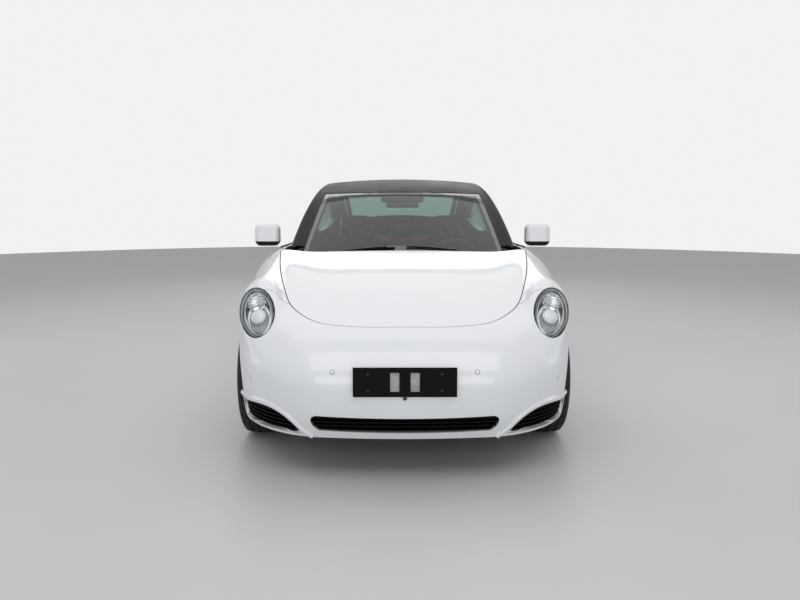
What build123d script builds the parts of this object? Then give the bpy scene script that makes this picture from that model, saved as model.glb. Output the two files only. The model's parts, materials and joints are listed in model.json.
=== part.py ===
from build123d import *
import math
import os

import numpy as np

# Electric fastback sedan, in millimetres. The nose points to -Y, +X is the car's left side, +Z is up,
# and the origin is on the ground under the middle of the car.

# ---------------------------------------------------------------- driving dimensions
LENGTH = 4870.0
BRACKET = 8.0
NOSE = BRACKET - LENGTH / 2
TAIL = LENGTH / 2
FRONT_AXLE = NOSE + 930.0
REAR_AXLE = FRONT_AXLE + 2870.0
FRONT_TRACK = 1580.0
REAR_TRACK = 1600.0
TYRE_RADIUS = 347.0
TYRE_WIDTH = 235.0
ARCH_RADIUS = 386.0


# ---------------------------------------------------------------- curves and rounded forms
def curve(*knots):
    """A natural cubic spline through (position, value) knots, straight beyond its ends."""
    x, y = np.array(knots, float).T
    h = np.diff(x)
    n = len(x)
    system = np.eye(n)
    right = np.zeros(n)
    for i in range(1, n - 1):
        system[i, i - 1 : i + 2] = h[i - 1], 2 * (h[i - 1] + h[i]), h[i]
        right[i] = 6 * ((y[i + 1] - y[i]) / h[i] - (y[i] - y[i - 1]) / h[i - 1])
    bend = np.linalg.solve(system, right)

    def value(at):
        at = np.asarray(at, float)
        k = np.clip(np.searchsorted(x, at) - 1, 0, n - 2)
        a, b = np.clip(at, x[0], x[-1]) - x[k], x[k + 1] - np.clip(at, x[0], x[-1])
        inside = (
            (bend[k] * b**3 + bend[k + 1] * a**3) / (6 * h[k])
            + (y[k] / h[k] - bend[k] * h[k] / 6) * b
            + (y[k + 1] / h[k] - bend[k + 1] * h[k] / 6) * a
        )
        low_slope = (y[1] - y[0]) / h[0] - h[0] * bend[1] / 6
        high_slope = (y[-1] - y[-2]) / h[-1] + h[-1] * bend[-2] / 6
        return inside + low_slope * np.minimum(at - x[0], 0) + high_slope * np.maximum(at - x[-1], 0)

    return value


def rounded(a, b, r):
    """Both a and b as signed distances, with their shared edge rounded to radius r."""
    outside = np.hypot(np.maximum(a + r, 0), np.maximum(b + r, 0))
    return np.minimum(np.maximum(a, b), -r) + outside


def blended(a, b, r):
    """Either a or b as signed distances, with the valley between them filled to radius r."""
    return -rounded(-a, -b, r)


# ---------------------------------------------------------------- the lower body
WIDE_AT = 690.0
half_width = curve((NOSE, 792), (NOSE + 500, 858), (FRONT_AXLE, 900), (-700, 905), (300, 908),
        (REAR_AXLE, 916), (1900, 895), (TAIL, 830))
hood_line = curve((NOSE, 628), (NOSE + 120, 692), (NOSE + 260, 757), (NOSE + 500, 858), (NOSE + 800, 958),
                  (NOSE + 1050, 1018), (NOSE + 1300, 1048), (NOSE + 1800, 1034), (300, 1030),
                          (1200, 1040), (1800, 1046), (TAIL, 1034))
hood_crown = curve((NOSE, 60), (NOSE + 500, 60), (NOSE + 900, 44), (NOSE + 1250, 18), (-700, 0),
        (1200, 0), (1800, 20), (TAIL, 40))
fender_crest = curve((NOSE, 0), (NOSE + 400, 12), (NOSE + 850, 48), (NOSE + 1250, 20), (-800, 0), (0, 0),
        (TAIL, 0))
shoulder = curve((NOSE, 150), (NOSE + 500, 165), (FRONT_AXLE, 150), (-1000, 115), (-500, 90), (900, 90),
        (REAR_AXLE, 130), (TAIL, 120))
sill_tuck = curve((NOSE, 25), (FRONT_AXLE, 40), (-800, 105), (800, 105), (REAR_AXLE, 60), (TAIL, 55))
nose_profile = curve((150, 125), (210, 92), (260, 60), (330, 28), (420, 8), (510, 0), (600, 10),
        (700, 45), (800, 95))
tail_profile = curve((150, 150), (260, 85), (360, 35), (480, 8), (600, 0), (720, 12), (850, 42),
        (960, 70), (1100, 80))


def side_of_body(y, z):
    """Half width of the lower body at y and z, with its haunches over the wheels."""
    low = np.maximum(WIDE_AT - z, 0) / 500
    high = np.maximum(z - WIDE_AT, 0) / 280
    haunch = 14 * np.exp(-(((y - FRONT_AXLE) / 420) ** 2)) + 20 * np.exp(-(((y - REAR_AXLE) / 460) ** 2))
    haunch = haunch * np.exp(-(((z - 600) / 300) ** 2))
    return half_width(y) + haunch - sill_tuck(y) * low**2.1 - 42 * high**2


def top_of_body(x, y):
    """Height of the hood, the belt line and the rear deck at x and y."""
    crest = fender_crest(y) * np.exp(-(((np.abs(x) - 750) / 140) ** 2))
    return hood_line(y) - hood_crown(y) * (x / 800) ** 2 + crest


LAMP = (743.0, NOSE + 372.0, 783.0)
LAMP_AXIS = (0.20, -0.78, 0.593)


tunnel_rise = curve((-200, -48), (0, 0), (200, 42), (450, 78), (700, 85), (1000, 70), (1400, 20))


def lamp_pod(x, y, z):
    """Signed distance to the tunnels that carry the headlamps: oval, running back into the wings."""
    behind, up = y - LAMP[1], z - LAMP[2]
    across = np.abs(x) - LAMP[0] - 0.02 * behind + 0.06 * up
    rise = up - tunnel_rise(behind)
    wall = (np.hypot(across / 102, rise / 122) - 1) * 102 + 0.09 * np.maximum(behind - 150, 0)
    ahead = (np.abs(x) - LAMP[0]) * LAMP_AXIS[0] + behind * LAMP_AXIS[1] + up * LAMP_AXIS[2]
    tube = rounded(wall, ahead + 0.0007 * (across**2 + rise**2), 38.0)
    return np.maximum(tube, behind - 1000)


def body(x, y, z):
    """Signed distance to the skin of the lower body, below zero inside."""
    side = np.abs(x) - side_of_body(y, z)
    front = (NOSE + nose_profile(z) + 0.00016 * x**2) - y
    rear = y - (TAIL - tail_profile(z) - 0.00017 * x**2)
    plan = rounded(rounded(side, front, 380.0), rear, 330.0)
    top = (z - top_of_body(x, y)) * 0.95
    return blended(rounded(plan, top, shoulder(y)), lamp_pod(x, y, z), 65.0)


# ---------------------------------------------------------------- the greenhouse
roof_line = curve((NOSE + 900, 850), (NOSE + 1150, 1000), (NOSE + 1600, 1235), (NOSE + 2000, 1409),
        (NOSE + 2250, 1471), (NOSE + 2650, 1500),
                  (NOSE + 3150, 1487), (NOSE + 3600, 1425), (NOSE + 4000, 1325), (NOSE + 4400, 1186),
                          (NOSE + 4600, 1116), (NOSE + 4790, 1074))
glass_foot = curve((NOSE + 1200, 700), (NOSE + 1450, 738), (NOSE + 1900, 782), (NOSE + 2600, 802),
        (NOSE + 3400, 792), (NOSE + 4200, 722), (TAIL, 640))
roof_plan = curve((NOSE + 1000, 0.00034), (NOSE + 2200, 0.00028), (NOSE + 2900, 0.0),
        (NOSE + 3600, -0.00016), (TAIL, -0.00022))


def greenhouse(x, y, z):
    """Signed distance to the skin of the greenhouse: windscreen, roof, fastback and side glass."""
    up = z - 1000
    side = (np.abs(x) - (glass_foot(y) - 0.36 * up - 0.00012 * up**2)) * 0.92
    top = (z - roof_line(y - roof_plan(y) * x**2) + 0.00009 * x**2) * 0.92
    lip = y - (TAIL - 92 - 0.00017 * x**2)
    return rounded(rounded(side, lip, 240.0), top, 52.0)


waist_blend = curve((NOSE, 10), (-600, 20), (700, 30), (1300, 100), (1800, 120), (2100, 90), (TAIL, 80))


def car(x, y, z):
    """Signed distance to the whole car's skin."""
    return blended(body(x, y, z), np.maximum(greenhouse(x, y, z), 800 - z), waist_blend(y))


# ---------------------------------------------------------------- sheets of panel cut from those shapes
def reach(shape, rays, depth):
    """Where each ray leaves the shape's skin, moved inwards by depth."""
    origin, direction = rays
    near, far = np.zeros(origin.shape[:-1]), np.full(origin.shape[:-1], 2600.0)
    for _ in range(40):
        middle = (near + far) / 2
        point = origin + middle[..., None] * direction
        inside = shape(point[..., 0], point[..., 1], point[..., 2]) < -depth
        near, far = np.where(inside, middle, near), np.where(inside, far, middle)
    return origin + near[..., None] * direction


def rays(x, y, z, dx, dy, dz):
    origin = np.stack(np.broadcast_arrays(x, y, z), -1).astype(float)
    return origin, np.stack(np.broadcast_arrays(dx, dy, dz), -1).astype(float)


def side_rays(ys, degrees, x0=250.0, z0=650.0):
    """Rays fanning out to the left from a line along the car."""
    y, a = np.meshgrid(ys, np.radians(degrees), indexing="ij")
    return rays(x0 + 0 * y, y, z0 + 0 * y, np.cos(a), 0 * a, np.sin(a))


def up_rays(across, ys, width, z0=300.0):
    """Upright rays on a grid that narrows with width(y)."""
    y, share = np.meshgrid(ys, across, indexing="ij")
    return rays(share * width(y), y, z0 + 0 * y, 0 * y, 0 * y, 1 + 0 * y)


def level_rays(degrees, zs, y0, sign):
    """Level rays fanning out from an upright line; sign -1 looks to the nose, +1 to the tail."""
    a, z = np.meshgrid(np.radians(degrees), zs, indexing="ij")
    return rays(0 * a, y0 + 0 * a, z, np.sin(a), sign * np.cos(a), 0 * a)


def tail_rays(across, degrees, width):
    """Rays fanning up and back from a line across the car, 0 degrees pointing to the tail."""
    share, a = np.meshgrid(across, degrees, indexing="ij")
    return rays(share * width(a), 1300 + 0 * a, 500 + 0 * a, 0 * a, np.cos(np.radians(a)),
            np.sin(np.radians(a)))


def nose_rays(shares, climbs):
    """Rays to the nose from a line across the car, fanning out at its ends and tilted up by climb."""
    s, c = np.meshgrid(shares, np.radians(climbs), indexing="ij")
    x = 680 * np.sin(s * np.pi / 2)
    t = np.radians(80) * s**5
    return rays(x, -1650 + 0 * s, 420 + 0 * s, np.sin(t) * np.cos(c), -np.cos(t) * np.cos(c), np.sin(c))


def window_rays(ys, count):
    """Level rays to the left, filling the side window band from the waist to the rail."""
    y, share = np.meshgrid(ys, spaced(0, 1, count), indexing="ij")
    top = roof_line(y - roof_plan(y) * 620.0**2) - 96
    return rays(0 * y, y, 996 + share * np.maximum(top - 996, 60), 1 + 0 * y, 0 * y, 0 * y)


def roof_rays(ys, degrees):
    """Rays fanning up from a line that runs 420 mm under the roof."""
    y, a = np.meshgrid(ys, np.radians(degrees), indexing="ij")
    return rays(0 * y, y, roof_line(y) - 420, np.cos(a), 0 * a, np.sin(a))


def skin_face(points):
    rows = [[tuple(p) for p in row] for row in points]
    return Face.make_surface_from_array_of_points(rows, tol=0.4, min_deg=3, max_deg=3)


def rims(face, grid):
    """The four rim edges of a skin face: first row, last row, first column and last column of its grid."""
    found = []
    for row in (grid[0], grid[-1], grid[:, 0], grid[:, -1]):
        middle = Vector(*row[len(row) // 2])
        found.append(min(face.edges(), key=lambda e: e.distance_to(middle)))
    return found


def sheet(shape, fan, depth, far_depth):
    """A solid sheet of the shape's skin, from one depth to another, closed by ruled edges."""
    outer, inner = reach(shape, fan, depth), reach(shape, fan, far_depth)
    faces = [skin_face(outer), skin_face(inner)]
    for rim_a, rim_b in zip(rims(faces[0], outer), rims(faces[1], inner)):
        faces.append(Face.make_surface_from_curves(rim_a, rim_b))
    solid = Solid(Shell(faces))
    return solid if solid.volume > 0 else Solid(Shell([-f for f in faces]))


def spaced(low, high, count):
    return np.linspace(low, high, count)


# ---------------------------------------------------------------- cutting tools
LEAN = 0.12   # door edges slant by this much, so that their corners clear as they swing


def corners(*points):
    """The straight runs of a closed polygon."""
    return list(zip(points, points[1:] + points[:1]))


def prism(axis, low, high, runs, lean=0.0):
    """A prism along an axis. A run of two points is straight and a longer one is a smooth curve."""
    def place(a, b):
        if axis == "x":
            return Vector(low, a - lean * (910 - low), b)
        return Vector(a, low, b) if axis == "y" else Vector(a, b, low)

    edges = []
    for run in runs:
        points = [place(*p) for p in run]
        edges.append(Edge.make_line(*points) if len(points) == 2 else Edge.make_spline(points))
    way = {"x": Vector(1, lean, 0), "y": Vector(0, 1, 0), "z": Vector(0, 0, 1)}[axis]
    return Solid.extrude(Face(Wire(edges)), way * (high - low))


def block(x0, x1, y0, y1, z0, z1):
    return Pos((x0 + x1) / 2, (y0 + y1) / 2, (z0 + z1) / 2) * Box(x1 - x0, y1 - y0, z1 - z0)


def rod(x0, x1, y, z, radius):
    """A cylinder along X."""
    return Pos((x0 + x1) / 2, y, z) * Rot(0, 90, 0) * Cylinder(radius, x1 - x0)


def whole(shape):
    """The largest solid of a cut, so that no crumbs are kept."""
    return max(shape.solids(), key=lambda s: s.volume)


def right_of(shape):
    """The same piece on the car's right side."""
    return shape.mirror(Plane.YZ)


def arch(axle_y, radius, x0=450.0, x1=1100.0):
    return rod(x0, x1, axle_y, TYRE_RADIUS, radius)


# ---------------------------------------------------------------- outlines shared by neighbouring panels
GAP = 5.0
FRONT_DOOR = (-1010.0, 128.0)
REAR_DOOR = (133.0, 1130.0, 1215.0)
DOOR_FOOT = 280.0
bonnet_edge = [(737, -1246), (700, -1530), (669, -1704), (632, -1845), (585, -1968), (512, -2071),
        (421, -2150),
               (325, -2184), (207, -2206), (0, -2213)]


def bonnet_prism(grow):
    """The bonnet's outline seen from above, grown outwards."""
    left = []
    for x, y in bonnet_edge:
        share = x / 737
        left.append((x + grow * min(1, share * 1.3), y - grow * max(0, 1 - share**4)))
    nose = left + [(-x, y) for x, y in reversed(left[:-1])]
    back = [(-left[0][0], left[0][1]), (-left[0][0], -1242 + grow), (left[0][0], -1242 + grow), left[0]]
    return prism("z", 500, 1300, [nose] + list(zip(back, back[1:])))


def front_door_prism(grow, low=500.0):
    y0, y1 = FRONT_DOOR
    outline = corners((y0 - grow, DOOR_FOOT - grow), (y1 + grow, DOOR_FOOT - grow), (y1 + grow, 1100),
            (y0 - grow, 1100))
    return prism("x", low, 1000, outline, LEAN)


def rear_door_prism(grow, low=500.0):
    y0, y1, y2 = REAR_DOOR
    outline = corners((y0 - grow, DOOR_FOOT - grow), (y1 + grow, DOOR_FOOT - grow), (y1 + grow, 640),
            (y2 + grow, 1100), (y0 - grow, 1100))
    return prism("x", low, 1000, outline, LEAN) - arch(REAR_AXLE, 422 - 1.4 * grow)


def rail_height(y):
    """Top of the side glass."""
    return float(roof_line(y - roof_plan(y) * 620.0**2)) - 110.0


def glass_top(y0, y1, count, drop=0.0):
    return [(y, rail_height(y) - drop) for y in spaced(y0, y1, count)]


def window_prism(runs, low=300.0):
    return prism("x", low, 1000, runs, LEAN)


def lamp_prism(grow, front, back):
    """An oval prism along a headlamp's axis, from front to back of its rim."""
    place = Plane(origin=LAMP, x_dir=(0.9475, 0.0, -0.3196), z_dir=LAMP_AXIS)
    oval = Ellipse(90 + grow, 152 + grow)
    return extrude(place * oval, amount=front) + extrude(place * oval, amount=-back)


def windscreen_prism(grow):
    foot = [(645 + grow, -1168), (330, -1204 - grow), (0, -1216 - grow), (-330, -1204 - grow),
            (-645 - grow, -1168)]
    head = [(-550 - grow, -322 + grow), (-300, -420 + grow), (0, -462 + grow), (300, -420 + grow),
            (550 + grow, -322 + grow)]
    return prism("z", 900, 1600, [foot, (foot[-1], head[0]), head, (head[-1], foot[0])])


def tailgate_prism(grow):
    left = [(556 + grow, 655 - grow), (585 + grow, 1100), (600 + grow, 1600), (615 + grow, 2000),
            (655 + grow, 2300), (672 + grow, 2500)]
    right = [(-x, y) for x, y in reversed(left)]
    return prism("z", 724 - grow, 1700, [left, (left[-1], right[0]), right, (right[-1], left[0])])


def rear_glass_prism(grow):
    left = [(505 + grow, 715 - grow), (525 + grow, 1100), (535 + grow, 1600), (530 + grow, 1960 + grow)]
    right = [(-x, y) for x, y in reversed(left)]
    tail = [left[-1], (300, 2010 + grow), (-300, 2010 + grow), right[0]]
    return prism("z", 900, 1700, [left, tail, right, (right[-1], left[0])])


def grille_prism(grow):
    """The lower middle opening of the front bumper."""
    top = [(-420, 338 + grow), (0, 331 + grow), (420, 338 + grow)]
    end = [top[-1], (446 + grow, 318), (438 + grow, 285), (398 + grow, 257 - grow)]
    foot = [end[-1], (0, 249 - grow), (-398 - grow, 257 - grow)]
    start = [foot[-1], (-438 - grow, 285), (-446 - grow, 318), top[0]]
    return prism("y", NOSE - 50, NOSE + 300, [top, end, foot, start])


def intake_prism(grow):
    """The left side opening of the front bumper."""
    top = [(845, 318 + grow), (760, 345 + grow), (684, 352 + grow), (600, 334 + grow), (545, 305 + grow),
            (498 - grow, 255)]
    foot = [(498 - grow, 255), (520, 237 - grow), (600, 229 - grow), (700, 226 - grow), (845, 221 - grow)]
    return prism("y", NOSE - 50, NOSE + 470, [top, foot, (foot[-1], top[0])])


BUMPER_SEAM = [(NOSE + 455, 1200), (NOSE + 455, 742), (NOSE + 690, 604)]


# ---------------------------------------------------------------- the panels
def glass_zone():
    """Everything just outside the lower side glass, which the shoulder panels stop short of."""
    return sheet(greenhouse, side_rays(spaced(-1290, 1300, 30), spaced(4, 40, 12), 250, 800), -4.0, 200.0)


def fender():
    panel = sheet(body, side_rays(spaced(-1992, -970, 50), spaced(-26, 90, 54), 520, 420), 0.0, 25.0)
    seam = BUMPER_SEAM
    shape = prism("x", 400, 1100, corners((seam[0][0] + 2, 1200), (seam[1][0] + 2, 743),
            (seam[2][0] + 2, 606), (-1505, 330), (-1300, 276),
                                          (-1000, 276), (-1000, 1200)))
    panel = whole(panel & shape)
    panel = whole(panel - front_door_prism(GAP) - arch(FRONT_AXLE, ARCH_RADIUS))
    panel = whole(panel - bonnet_prism(GAP) - lamp_prism(3.0, 300, 300))
    return whole(panel - block(0, 722, -1260, -900, 700, 1200) - zone)


def door_shell(skin, core, outline, inner_outline, low):
    """A door: a thin skin at the full outline with a deep inner part set in from it."""
    face = whole((skin & outline) - zone - block(0, 728, -1300, -700, 200, 1300))
    deep = whole(core & inner_outline & block(low, 1000, -1300, 1400, 200, 1000))
    return whole(face + whole(deep - zone))


def front_door():
    fan = side_rays(spaced(-1060, 180, 34), spaced(-36, 52, 34))
    y0, y1 = FRONT_DOOR
    inner = corners((y0 + 25, DOOR_FOOT + 25), (y1 - 28, DOOR_FOOT + 25), (y1 - 28, 1100), (y0 + 25, 1100))
    skin, core = sheet(body, fan, 0.0, 25.0), sheet(body, fan, 24.0, 230.0)
    return door_shell(skin, core, front_door_prism(0), prism("x", 500, 1000, inner, LEAN), 775)


def rear_door():
    fan = side_rays(spaced(80, 1280, 34), spaced(-36, 52, 34))
    y0, y1, y2 = REAR_DOOR
    inner = corners((y0 + 30, DOOR_FOOT + 25), (y1 - 28, DOOR_FOOT + 25), (y1 - 28, 640),
            (y2 - 28, 1100), (y0 + 30, 1100))
    skin, core = sheet(body, fan, 0.0, 25.0), sheet(body, fan, 24.0, 230.0)
    inner_prism = prism("x", 500, 1000, inner, LEAN) - arch(REAR_AXLE, 447)
    return door_shell(skin, core, rear_door_prism(0), inner_prism, 775)


def side_glass_blank():
    return sheet(greenhouse, window_rays(spaced(-960, 1600, 52), 16), 3.0, 8.0)


def front_door_glass(blank):
    top = glass_top(-885, 112, 9, 4)
    outline = [top, ((112, top[-1][1]), (112, 1010)), ((112, 1010), (-900, 1010)), ((-900, 1010), top[0])]
    return whole(blank & window_prism(outline))


def rear_door_glass(blank):
    top = glass_top(134, 1190, 9, 4)
    outline = [top, (top[-1], (1190, 1070)), ((1190, 1070), (1135, 1010)), ((1135, 1010), (134, 1010)),
            ((134, 1010), top[0])]
    return whole(blank & window_prism(outline))


QUARTER_FOOT = [(1216, 1062), (1320, 1082), (1430, 1115), (1530, 1160)]


def quarter_glass_prism(grow):
    top = glass_top(1212 - grow, 1545 + grow, 6, 4 - grow)
    foot = [(y, z - grow) for y, z in QUARTER_FOOT]
    foot = [(foot[0][0] - grow - 4, foot[0][1])] + foot[1:-1] + [(foot[-1][0] + grow, foot[-1][1])]
    nose, tail = (foot[0], top[0]), (top[-1], foot[-1])
    return window_prism([nose, top, tail, list(reversed(foot))])


QUARTER_FOOT_LINE = [(1212, 1056), (1320, 1076), (1434, 1110), (1552, 1168)]


def body_side():
    """Sill, hinge pillar, centre pillar and rear quarter with its pillar, as one pressing."""
    sill = sheet(body, side_rays(spaced(-1104, 950, 40), spaced(-40, -10, 16)), 0.0, 60.0)
    sill = whole(sill & block(300, 1100, -1098, 929.4, 190, 276))
    key = sheet(body, side_rays(spaced(860, 1000, 8), spaced(-42, -10, 12)), 14.0, 46.0) & block(300,
            1100, 890, 970, 200, 266)
    sill = whole(sill + key)
    flank = sheet(car, side_rays(spaced(900, 1740, 36), spaced(-38, 68, 46)), 0.0, 60.0) & block(300,
            1100, 930, 1700, 190, 1500)
    turn, climb = np.meshgrid(np.radians(spaced(80, 16, 40)), np.radians(spaced(-4, 54, 34)), indexing="ij")
    level = np.cos(climb)
    fan = rays(250 + 0 * turn, 1500 + 0 * turn, 650 + 0 * turn, np.sin(turn) * level,
            np.cos(turn) * level, np.sin(climb))
    corner = sheet(car, fan, 0.0, 60.0) & block(300, 1100, 1700.6, 2600, 400, 1500)
    tongue = sheet(car, side_rays(spaced(1600, 1800, 8), spaced(-5, 45, 20)), 14.0, 46.0) & block(500,
            1100, 1640, 1760, 750, 990)
    side = whole(whole(flank + tongue) + corner)
    upper = [[(1100, 1600), (1100, 900)], [(1100, 900), (1212, 1056)], QUARTER_FOOT_LINE,
            [(1552, 1168), (1446, 1600)], [(1446, 1600), (1100, 1600)]]
    side = whole(side - prism("x", 250, 1100, upper, LEAN))
    side = whole(side - rear_door_prism(GAP))
    side = whole(side - arch(REAR_AXLE, ARCH_RADIUS, 400) - arch(REAR_AXLE, 404, 400, 828))
    side = whole(side - tailgate_prism(GAP))
    below = corners((1500, 400), (1655, 596), (1800, 720), (2600, 720), (2600, 100), (1500, 100))
    side = whole(side - prism("x", 200, 1100, below))
    hinge_post = sheet(body, side_rays(spaced(-1120, -980, 8), spaced(-38, 34, 24)), 32.0,
            92.0) & block(600, 1000, -1088, -1016, 192, 985)
    post = sheet(car, side_rays(spaced(80, 180, 6), spaced(-38, 68, 44)), 34.0, 88.0)
    post = whole(post & prism("x", 400, 1000, corners((107, 192), (155, 192), (155, 1425), (107, 1425)),
            LEAN))
    shell = whole(sill + side + whole(hinge_post) + post)
    return whole(shell + block(762, 800, -960, -880, 180, 196) + block(762, 800, 840, 920, 180, 196))


def roof():
    """Roof panel with its rails and the front pillars, one black pressing."""
    degrees = np.concatenate([spaced(8, 24, 9), spaced(26, 46, 18), spaced(50, 90, 10)])
    degrees = np.concatenate([degrees, 180 - degrees[-2::-1]])
    shell = sheet(greenhouse, roof_rays(spaced(-1262, 1640, 72), degrees), 0.0, 30.0)
    shell = whole(shell - windscreen_prism(4.0) - tailgate_prism(GAP))
    rail = glass_top(-893, 1560, 15)
    below = [[(-1400, 800), (-1400, 1049)], [(-1400, 1049), (-905, 1049)], [(-905, 1049), rail[0]], rail,
            [rail[-1], (1640, 1100)],
             [(1640, 1100), (1640, 800)], [(1640, 800), (-1400, 800)]]
    behind = corners((1440, 1600), (1550, 1150), (1550, 900), (1800, 900), (1800, 1600))
    for tool in (prism("x", 0, 1100, below, LEAN), prism("x", 300, 1100, behind, LEAN)):
        shell = whole(shell - tool - right_of(tool))
    return shell


def windscreen():
    width = curve((-1225, 665), (-700, 625), (-290, 585))
    pane = sheet(greenhouse, up_rays(spaced(-1, 1, 25), spaced(-1232, -290, 30), width, 820), 3.0, 9.0)
    return whole(pane & windscreen_prism(0.0))


def bonnet():
    width = curve((-2235, 440), (-2100, 575), (-1950, 640), (-1700, 705), (-1235, 765))
    panel = sheet(body, up_rays(spaced(-1, 1, 40), spaced(-2228, -1230, 44), width), 0.0, 28.0)
    return whole(panel & bonnet_prism(0.0))


def front_bumper():
    fan = nose_rays(spaced(-1, 1, 96), spaced(-34, 57, 52))
    shell = sheet(body, fan, 0.0, 35.0)
    seam = [(y - 2, z - 2) for y, z in BUMPER_SEAM]
    shape = corners(seam[0], seam[1], seam[2], (-1600, 300), (-1600, 214), (NOSE - 100, 214),
            (NOSE - 100, 1200))
    shell = whole(shell & prism("x", -1100, 1100, shape))
    for arch_tool in (arch(FRONT_AXLE, ARCH_RADIUS), right_of(arch(FRONT_AXLE, ARCH_RADIUS))):
        shell = whole(shell - arch_tool)
    shell = whole(shell - bonnet_prism(GAP) - grille_prism(0) - intake_prism(0) - right_of(intake_prism(0)))
    lamp = lamp_prism(3.0, 300, 300)
    return whole(shell - lamp - right_of(lamp))


def bumper_grilles():
    """A dark panel behind the bumper's three openings, with level slats."""
    fan = level_rays(spaced(-66, 66, 60), spaced(214, 372, 12), -1505, -1)
    back = sheet(body, fan, 44.0, 60.0)
    fins = sheet(body, fan, 12.0, 50.0)
    slats = None
    for z in (262, 283, 304, 325):
        slab = block(-460, 460, NOSE - 20, NOSE + 280, z - 3, z + 3) & grille_prism(-4)
        slats = slab if slats is None else slats + slab
    for z in (246, 268, 290, 312, 334):
        slab = block(480, 900, NOSE - 20, NOSE + 470, z - 3, z + 3) & intake_prism(-4)
        slats = slats + slab + right_of(slab)
    tool = arch(FRONT_AXLE, 404)
    return whole(whole(back + (fins & slats)) - tool - right_of(tool))


def rear_bumper():
    fan = level_rays(spaced(-76, 76, 80), spaced(200, 712, 36), 1500, 1)
    shell = sheet(body, fan, 0.0, 40.0)
    shape = corners((1500, 396), (1650, 590), (1795, 712), (2600, 712), (2600, 100), (1500, 100))
    shell = whole(shell & prism("x", -1100, 1100, shape))
    for arch_tool in (arch(REAR_AXLE, ARCH_RADIUS), right_of(arch(REAR_AXLE, ARCH_RADIUS))):
        shell = whole(shell - arch_tool)
    return shell


def tail_fan():
    degrees = np.concatenate([spaced(8, 20, 9), spaced(21.2, 36, 22), spaced(38.5, 127, 40)])
    width = curve((8, 690), (22, 690), (30, 680), (38, 640), (50, 612), (90, 604), (127, 588))
    return tail_rays(spaced(-1, 1, 44), degrees, width)


def tail_lamp_prism(grow):
    return prism("y", 2200, 2500, corners((-600 - grow, 905 - grow), (600 + grow, 905 - grow),
            (600 + grow, 948 + grow), (-600 - grow, 948 + grow)))


def tailgate():
    gate = sheet(car, tail_fan(), 0.0, 38.0)
    gate = whole(gate & tailgate_prism(0.0))
    return whole(gate - rear_glass_prism(4.0) - tail_lamp_prism(2.0))


def tail_lamp():
    return whole(sheet(car, tail_fan(), -4.0, 30.0) & tail_lamp_prism(0.0))


def tailgate_glass():
    width = curve((690, 560), (2040, 560))
    pane = sheet(car, up_rays(spaced(-1, 1, 24), spaced(690, 2040, 30), width, 600), 3.0, 9.0)
    return whole(pane & rear_glass_prism(0.0))


def headlamp():
    """An oval cup, open to the front; the lens and its lights are fitted later."""
    cup = lamp_prism(0.0, 0.1, 105) - lamp_prism(30.0, 50, 22)
    return whole(cup - lamp_prism(-7.0, 60, 92))


def mirror_housing():
    """Squarish head and foot of a door mirror, standing on the door's shoulder."""
    head = block(842, 1008, -672, -592, 1030, 1178)
    head = fillet(head.edges().filter_by(Axis.Y), 38)
    head = fillet(head.faces().sort_by(Axis.Y)[0].edges(), 30)
    foot = prism("y", -650, -600, corners((858, 1034), (898, 1034), (925, 1062), (880, 1062)))
    return whole(head + foot)


# ---------------------------------------------------------------- under the skin
def wheelhouse(axle_y, wall_x, outer_x):
    """The left wheelhouse: a half drum over the wheel and its inner wall."""
    drum = rod(wall_x - 8, outer_x, axle_y, TYRE_RADIUS, 400) - rod(wall_x, outer_x + 1, axle_y,
            TYRE_RADIUS, 392)
    return whole(drum & block(0, 1100, axle_y - 500, axle_y + 500, 300, 900))


def floor_pan():
    """Floor, bulkhead, wheelhouses, front rails with their beam, and the luggage floor, welded into one."""
    pan = block(-721, 721, -1010, 960, 264, 284) + block(-696, 696, -1108, -1000, 264, 284)
    pan += block(-696, 696, -1108, -1092, 264, 930)
    pan += block(-655, 655, 940, 960, 264, 500)
    pan += block(-655, 655, 940, 2240, 484, 500)
    pan += block(-560, 560, 2222, 2240, 300, 690)
    for side in (1, -1):
        front = wheelhouse(FRONT_AXLE, 485, 812)
        rear = wheelhouse(REAR_AXLE, 655, 822)
        pan += front if side == 1 else right_of(front)
        pan += rear if side == 1 else right_of(rear)
        low, high = sorted((side * 436, side * 480))
        pan += block(low, high, -2205, -1100, 420, 500)
    pan += block(-520, 520, -2245, -2205, 415, 505)
    return whole(pan)


def battery_pack():
    return fillet(block(-660, 660, -980, 860, 150, 258).edges().filter_by(Axis.Z), 40)


def front_compartment():
    side = corners((-2130, 320), (-2130, 560), (-2050, 660), (-1750, 800), (-1300, 930), (-1114, 930),
            (-1114, 320))
    return prism("x", -425, 425, side)


def front_subframe():
    frame = block(-430, 430, -1620, -1390, 190, 262)
    for side in (1, -1):
        for y in (-1590, -1420):
            low, high = sorted((side * 420, side * 700))
            arm = prism("z", 205, 237, corners((420, y - 22), (700, -1523), (700, -1487), (420, y + 22)))
            frame += arm if side == 1 else right_of(arm)
    return whole(frame)


def knuckle():
    """Left front upright with stub axle, steering arm and brake caliper."""
    y, z = FRONT_AXLE, TYRE_RADIUS
    upright = block(706, 748, y - 45, y + 45, z - 104, z + 125)
    stub = rod(740, 826, y, z, 34)
    arm = block(706, 734, y + 30, y + 150, z - 90, z - 60)
    return whole(upright + stub + arm + caliper(782, y, z) + block(720, 748, y + 30, y + 130, z - 35,
            z + 35))


def caliper(disc_x, y, z):
    """A brake caliper astride a disc whose inner face is at disc_x."""
    shell = block(disc_x - 42, disc_x + 55, y + 100, y + 186, z - 62, z + 62)
    return shell - block(disc_x - 6, disc_x + 34, y, y + 178, z - 70, z + 70)


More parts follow.
